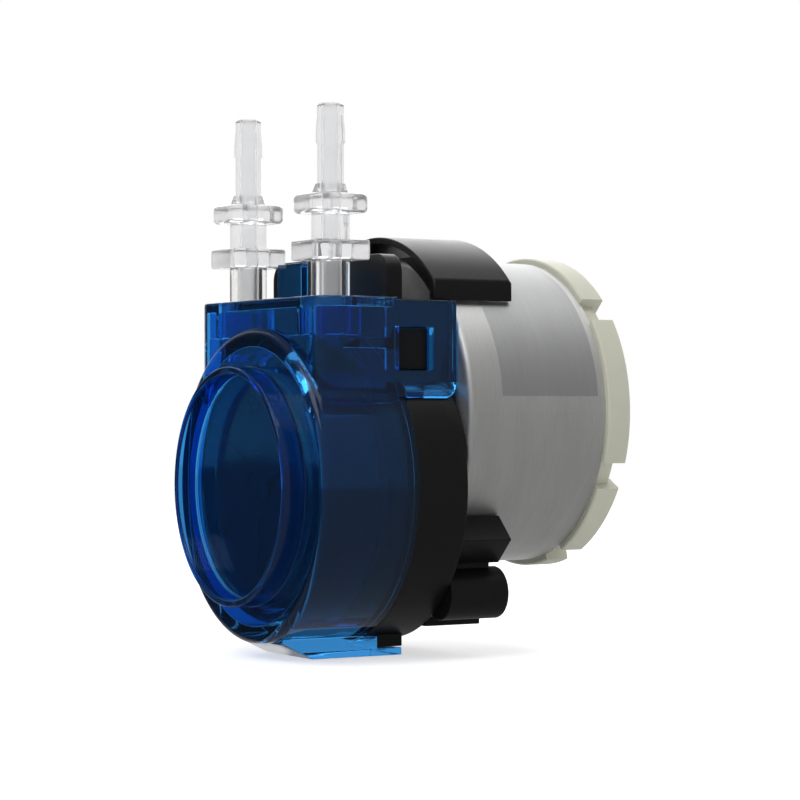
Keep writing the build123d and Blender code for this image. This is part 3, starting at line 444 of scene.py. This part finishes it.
def makeSoftPiece(name, look):
    piece = bpy.data.objects.new(name, nodes[look["node"]].data.copy())
    bpy.context.scene.collection.objects.link(piece)
    bpy.ops.object.select_all(action="DESELECT")
    piece.select_set(True)
    bpy.context.view_layer.objects.active = piece
    bpy.ops.object.mode_set(mode="EDIT")
    bpy.ops.mesh.select_all(action="SELECT")
    bpy.ops.mesh.remove_doubles(threshold=softEdges["weld"] * mm)
    bpy.ops.mesh.dissolve_limited(angle_limit=math.radians(softEdges["flat"]))
    bpy.ops.mesh.normals_make_consistent(inside=False)
    bpy.ops.object.mode_set(mode="OBJECT")
    bevel = piece.modifiers.new("softEdges", "BEVEL")
    bevel.width = look["width"] * mm
    bevel.segments = look["segments"]
    bevel.limit_method = "ANGLE"
    bevel.angle_limit = math.radians(softEdges["bevelled"])
    bevel.use_clamp_overlap = False
    bpy.ops.object.modifier_apply(modifier=bevel.name)
    bpy.ops.object.shade_smooth_by_angle(angle=math.radians(softEdges["smoothed"]))
    weighted = piece.modifiers.new("flatFaces", "WEIGHTED_NORMAL")
    weighted.keep_sharp = True
    bpy.ops.object.modifier_apply(modifier=weighted.name)
    piece.data.materials.clear()
    piece.data.materials.append(finishes[look["finish"]])
    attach(piece, "root")
    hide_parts(look["node"])
    print(name, len(piece.data.polygons), "faces")


for pieceName, pieceLook in softPieces.items():
    makeSoftPiece(pieceName, pieceLook)
print("soft pieces made")


stageLook = dict(floorSize=4.0, floorColour=0.8, floorRough=0.9, floorGlow=0.6, floorGap=0.2,
                 floorShine=0.3, backdropSeen=1.0, roomLight=0.5, roomShine=0.3)
shineSpots = {  # what polished surfaces mirror: a direction, how far it spreads, and its strength
    "paleBackdrop": dict(azimuth=236.0, elevation=8.0, full=30.0, none=60.0, strength=0.5),
    "darkSide": dict(azimuth=300.0, elevation=-4.0, full=30.0, none=62.0, strength=-0.27),
}


def towards(azimuth, elevation):
    around, up = math.radians(azimuth), math.radians(elevation)
    level = math.cos(up)
    return Vector((math.sin(around) * level, -math.cos(around) * level, math.sin(up)))


def seenDirectly(tree, path):  # one for camera rays and for rays through clear pieces
    return math2(tree, "MAXIMUM", path.outputs["Is Camera Ray"],
                 path.outputs["Is Transmission Ray"])


def makeStage():
    low = cadBounds[0][2] - stageLook["floorGap"] * mm
    bpy.ops.object.select_all(action="DESELECT")
    bpy.ops.mesh.primitive_plane_add(size=stageLook["floorSize"], location=(0, 0, low))
    floor = bpy.context.object
    floor.name = "studioFloor"
    material, tree, shader = startMaterial("paleFloor")
    shader.inputs["Base Color"].default_value = (*[stageLook["floorColour"]] * 3, 1)
    shader.inputs["Roughness"].default_value = stageLook["floorRough"]
    shader.inputs["Specular IOR Level"].default_value = 0.0
    path = tree.nodes.new("ShaderNodeLightPath")
    seen = seenDirectly(tree, path)
    glow = emission(tree, math2(tree, "MULTIPLY", seen, stageLook["floorGlow"]))
    both = tree.nodes.new("ShaderNodeAddShader")
    tree.links.new(shader.outputs["BSDF"], both.inputs[0])
    tree.links.new(glow, both.inputs[1])
    place = tree.nodes.new("ShaderNodeTexCoord").outputs["Object"]
    mirrored = emission(tree, shine(tree, place, stageLook["floorShine"]))
    choose = tree.nodes.new("ShaderNodeMixShader")
    tree.links.new(path.outputs["Is Glossy Ray"], choose.inputs["Fac"])
    tree.links.new(both.outputs["Shader"], choose.inputs[1])
    tree.links.new(mirrored, choose.inputs[2])
    tree.links.new(choose.outputs["Shader"], tree.nodes["Material Output"].inputs["Surface"])
    floor.data.materials.append(material)


def emission(tree, strength):
    node = tree.nodes.new("ShaderNodeEmission")
    tree.links.new(strength, node.inputs["Strength"])
    return node.outputs["Emission"]


def shineSpot(tree, direction, look):
    dot = tree.nodes.new("ShaderNodeVectorMath")
    dot.operation = "DOT_PRODUCT"
    tree.links.new(direction, dot.inputs[0])
    dot.inputs[1].default_value = towards(look["azimuth"], look["elevation"])
    fade = tree.nodes.new("ShaderNodeMapRange")
    fade.interpolation_type = "SMOOTHSTEP"
    fade.inputs["From Min"].default_value = math.cos(math.radians(look["none"]))
    fade.inputs["From Max"].default_value = math.cos(math.radians(look["full"]))
    fade.inputs["To Max"].default_value = look["strength"]
    tree.links.new(dot.outputs["Value"], fade.inputs["Value"])
    return fade.outputs["Result"]


def shine(tree, place, level):
    unit = tree.nodes.new("ShaderNodeVectorMath")
    unit.operation = "NORMALIZE"
    tree.links.new(place, unit.inputs[0])
    for look in shineSpots.values():
        level = math2(tree, "ADD", shineSpot(tree, unit.outputs["Vector"], look), level)
    return level


def makeWorld():
    world = bpy.data.worlds.new("studioWorld")
    bpy.context.scene.world = world
    world.use_nodes = True
    tree = world.node_tree
    sky = tree.nodes["Background"]
    sky.inputs["Color"].default_value = (1, 1, 1, 1)
    place = tree.nodes.new("ShaderNodeTexCoord").outputs["Generated"]
    mirrored = shine(tree, place, stageLook["roomShine"])
    path = tree.nodes.new("ShaderNodeLightPath")
    seen = seenDirectly(tree, path)
    strength = blendLinked(tree, path.outputs["Is Glossy Ray"], stageLook["roomLight"], mirrored)
    strength = blendLinked(tree, seen, strength, stageLook["backdropSeen"])
    tree.links.new(strength, sky.inputs["Strength"])


lamps = {  # azimuth and elevation of each softbox about the pump, metres away, size, watts
    "keyLamp": dict(azimuth=20.0, elevation=50.0, distance=0.7, size=0.45, power=1.6),
    "topLamp": dict(azimuth=150.0, elevation=75.0, distance=0.6, size=0.5, power=1.1),
    "rimLamp": dict(azimuth=235.0, elevation=32.0, distance=0.7, size=0.5, power=1.6),
}


def makeLamps():
    middle = (Vector(cadBounds[0]) + Vector(cadBounds[1])) / 2
    for name, look in lamps.items():
        away = towards(look["azimuth"], look["elevation"])
        lamp = bpy.data.lights.new(name, "AREA")
        lamp.energy = look["power"]
        lamp.size = look["size"]
        holder = bpy.data.objects.new(name, lamp)
        holder.location = middle + away * look["distance"]
        holder.rotation_euler = away.to_track_quat("Z", "Y").to_euler()
        bpy.context.scene.collection.objects.link(holder)


cameraPlace = dict(azimuth=59.09, elevation=-0.23, distance=543.03, aside=31.86, above=18.11,
                   lens=116.7, nearest=0.01)


def makeCamera():
    around = math.radians(cameraPlace["azimuth"])
    ahead = -towards(cameraPlace["azimuth"], cameraPlace["elevation"])
    right = Vector((math.cos(around), math.sin(around), 0))
    over = right.cross(ahead)
    camera = bpy.data.cameras.new("viewCamera")
    camera.lens = cameraPlace["lens"]
    camera.clip_start = cameraPlace["nearest"]
    holder = bpy.data.objects.new("viewCamera", camera)
    place = cameraPlace["aside"] * right + cameraPlace["above"] * over
    place = place - cameraPlace["distance"] * ahead
    turn = Matrix((right, over, -ahead)).transposed()
    holder.matrix_world = Matrix.Translation(place * mm) @ turn.to_4x4()
    bpy.context.scene.collection.objects.link(holder)
    bpy.context.scene.camera = holder


makeStage()
makeWorld()
makeLamps()
makeCamera()
bpy.context.scene.view_settings.view_transform = "Standard"
print("stage, lamps and camera placed")
